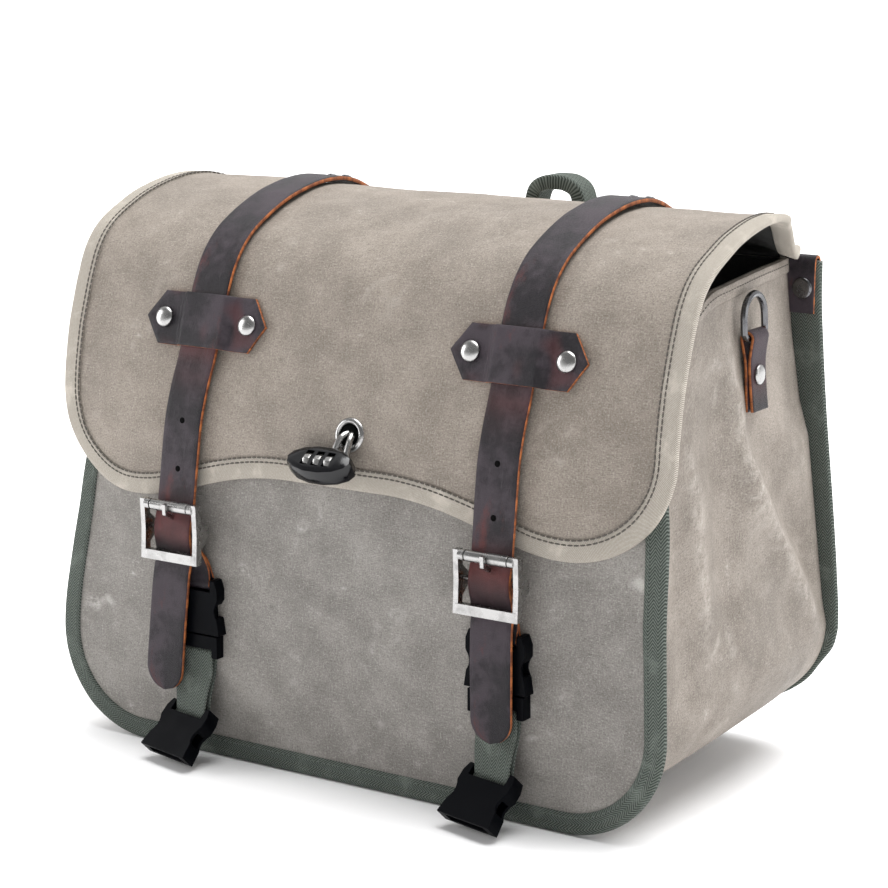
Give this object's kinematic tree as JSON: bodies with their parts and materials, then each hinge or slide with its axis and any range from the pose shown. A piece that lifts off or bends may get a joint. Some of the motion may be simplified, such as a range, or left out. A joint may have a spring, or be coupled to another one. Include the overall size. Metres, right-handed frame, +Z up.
{
  "type": "pannier bag",
  "caption": "Flap-top canvas pannier bag for a bicycle rack, with leather straps through roller buckles, side-release clips, ring tabs and a dial padlock",
  "frame": {"origin": "middle of the bounding box, at the floor", "axes": "+X to the right of the bag seen from its front, +Y to its back (the rack side), +Z up"},
  "size_m": [0.396, 0.2598, 0.317],
  "materials": {
    "canvas": "waxed canvas, dull, with pale creases and a fine weave",
    "green_webbing": "dark green herringbone webbing",
    "beige_binding": "pale twill binding, stitched",
    "leather": "oiled dark brown leather with orange raw edges",
    "gunmetal": "dark plated metal, satin",
    "nickel": "bright nickel plate",
    "black_plastic": "black acetal, semi matt",
    "lock_black": "gloss black",
    "board": "dark stiffening sheet"
  },
  "bodies": {
    "bag": {"front_panel": "canvas", "front_binding": "green_webbing", "back_panel": "canvas", "back_binding": "green_webbing", "gusset": "canvas", "base_board": "board", "back_stiffener": "board", "flap_rear": "canvas", "lock_staple": "nickel", "corner_patch_left": "leather", "corner_rivet_left": "gunmetal", "ring_tab_left": "leather", "ring_tab_rivet_left": "nickel", "corner_patch_right": "leather", "corner_rivet_right": "gunmetal", "ring_tab_right": "leather", "ring_tab_rivet_right": "nickel", "rack_strap_left": "green_webbing", "rack_strap_right": "green_webbing"},
    "flap": {"flap_panel": "canvas", "flap_binding": "beige_binding", "eyelet": "nickel", "strap_left": "leather", "keeper_left": "leather", "keeper_rivet_left_outer": "nickel", "keeper_rivet_left_inner": "nickel", "strap_rivet_left_outer": "gunmetal", "strap_rivet_left_inner": "gunmetal", "roller_buckle_left": "nickel", "prong_left": "nickel", "strap_right": "leather", "keeper_right": "leather", "keeper_rivet_right_outer": "nickel", "keeper_rivet_right_inner": "nickel", "strap_rivet_right_outer": "gunmetal", "strap_rivet_right_inner": "gunmetal", "roller_buckle_right": "nickel", "prong_right": "nickel", "buckle_tab_left": "leather", "tab_socket_left": "black_plastic", "buckle_tab_right": "leather", "tab_socket_right": "black_plastic"},
    "handle": {"carry_handle": "green_webbing"},
    "d_ring_left": {"d_ring_left": "gunmetal"},
    "d_ring_right": {"d_ring_right": "gunmetal"},
    "roller_left": {"roller_left": "nickel"},
    "roller_right": {"roller_right": "nickel"},
    "link_left": {"link_plug_left": "black_plastic", "link_web_left": "green_webbing"},
    "lower_clip_left": {"lower_socket_left": "black_plastic"},
    "link_right": {"link_plug_right": "black_plastic", "link_web_right": "green_webbing"},
    "lower_clip_right": {"lower_socket_right": "black_plastic"},
    "rack_clip_left": {"rack_plug_left": "black_plastic"},
    "rack_clip_right": {"rack_plug_right": "black_plastic"},
    "shackle": {"padlock_shackle": "nickel"},
    "padlock": {"padlock_body": "lock_black"},
    "dial_left": {"padlock_dial_left": "nickel"},
    "dial_middle": {"padlock_dial_middle": "nickel"},
    "dial_right": {"padlock_dial_right": "nickel"}
  },
  "joints": [
    {"name": "flap_hinge", "type": "hinge", "parent": "bag", "child": "flap", "pos_m": [0, 0.08145, 0.2895], "axis": [-1, 0, 0], "range_deg": [0, 100]},
    {"name": "roller_spin_left", "type": "hinge", "parent": "flap", "child": "roller_left", "pos_m": [-0.1034, -0.10905, 0.145], "axis": [1, 0, 0], "continuous": true},
    {"name": "link_release_left", "type": "slide", "parent": "flap", "child": "link_left", "axis": [0, 0, -1], "range_m": [0, 0.02]},
    {"name": "lower_clip_swing_left", "type": "hinge", "parent": "link_left", "child": "lower_clip_left", "pos_m": [-0.095, -0.10305, 0.0258], "axis": [-0.9744, 0.225, 0], "range_deg": [0, 60]},
    {"name": "d_ring_swing_left", "type": "hinge", "parent": "bag", "child": "d_ring_left", "pos_m": [-0.18282, 0.02845, 0.24698], "axis": [0, -1, 0], "range_deg": [0, 140]},
    {"name": "rack_clip_swing_left", "type": "hinge", "parent": "bag", "child": "rack_clip_left", "pos_m": [-0.1034, 0.11595, 0.034], "axis": [1, 0, 0], "range_deg": [0, 80]},
    {"name": "roller_spin_right", "type": "hinge", "parent": "flap", "child": "roller_right", "pos_m": [0.1034, -0.10905, 0.145], "axis": [1, 0, 0], "continuous": true},
    {"name": "link_release_right", "type": "slide", "parent": "flap", "child": "link_right", "axis": [0, 0, -1], "range_m": [0, 0.02]},
    {"name": "lower_clip_swing_right", "type": "hinge", "parent": "link_right", "child": "lower_clip_right", "pos_m": [0.104, -0.10305, 0.0258], "axis": [-0.9744, 0.225, 0], "range_deg": [0, 60]},
    {"name": "d_ring_swing_right", "type": "hinge", "parent": "bag", "child": "d_ring_right", "pos_m": [0.18282, 0.02845, 0.24698], "axis": [0, 1, 0], "range_deg": [0, 140]},
    {"name": "rack_clip_swing_right", "type": "hinge", "parent": "bag", "child": "rack_clip_right", "pos_m": [0.1034, 0.11595, 0.034], "axis": [1, 0, 0], "range_deg": [0, 80]},
    {"name": "handle_fold", "type": "hinge", "parent": "bag", "child": "handle", "pos_m": [0.009, 0.11285, 0.262], "axis": [-1, 0, 0], "range_deg": [0, 80]},
    {"name": "padlock_swing", "type": "hinge", "parent": "flap", "child": "shackle", "pos_m": [0.009, -0.09555, 0.196], "axis": [-1, 0, 0], "range_deg": [0, 20]},
    {"name": "shackle_release", "type": "slide", "parent": "shackle", "child": "padlock", "axis": [0, -0.3499, -0.9368], "range_m": [0, 0.006]},
    {"name": "dial_spin_left", "type": "hinge", "parent": "padlock", "child": "dial_left", "pos_m": [-0.0063, -0.11124, 0.18273], "axis": [1, 0, 0], "continuous": true},
    {"name": "dial_spin_middle", "type": "hinge", "parent": "padlock", "child": "dial_middle", "pos_m": [0.0005, -0.11124, 0.18273], "axis": [1, 0, 0], "continuous": true},
    {"name": "dial_spin_right", "type": "hinge", "parent": "padlock", "child": "dial_right", "pos_m": [0.0073, -0.11124, 0.18273], "axis": [1, 0, 0], "continuous": true}
  ]
}
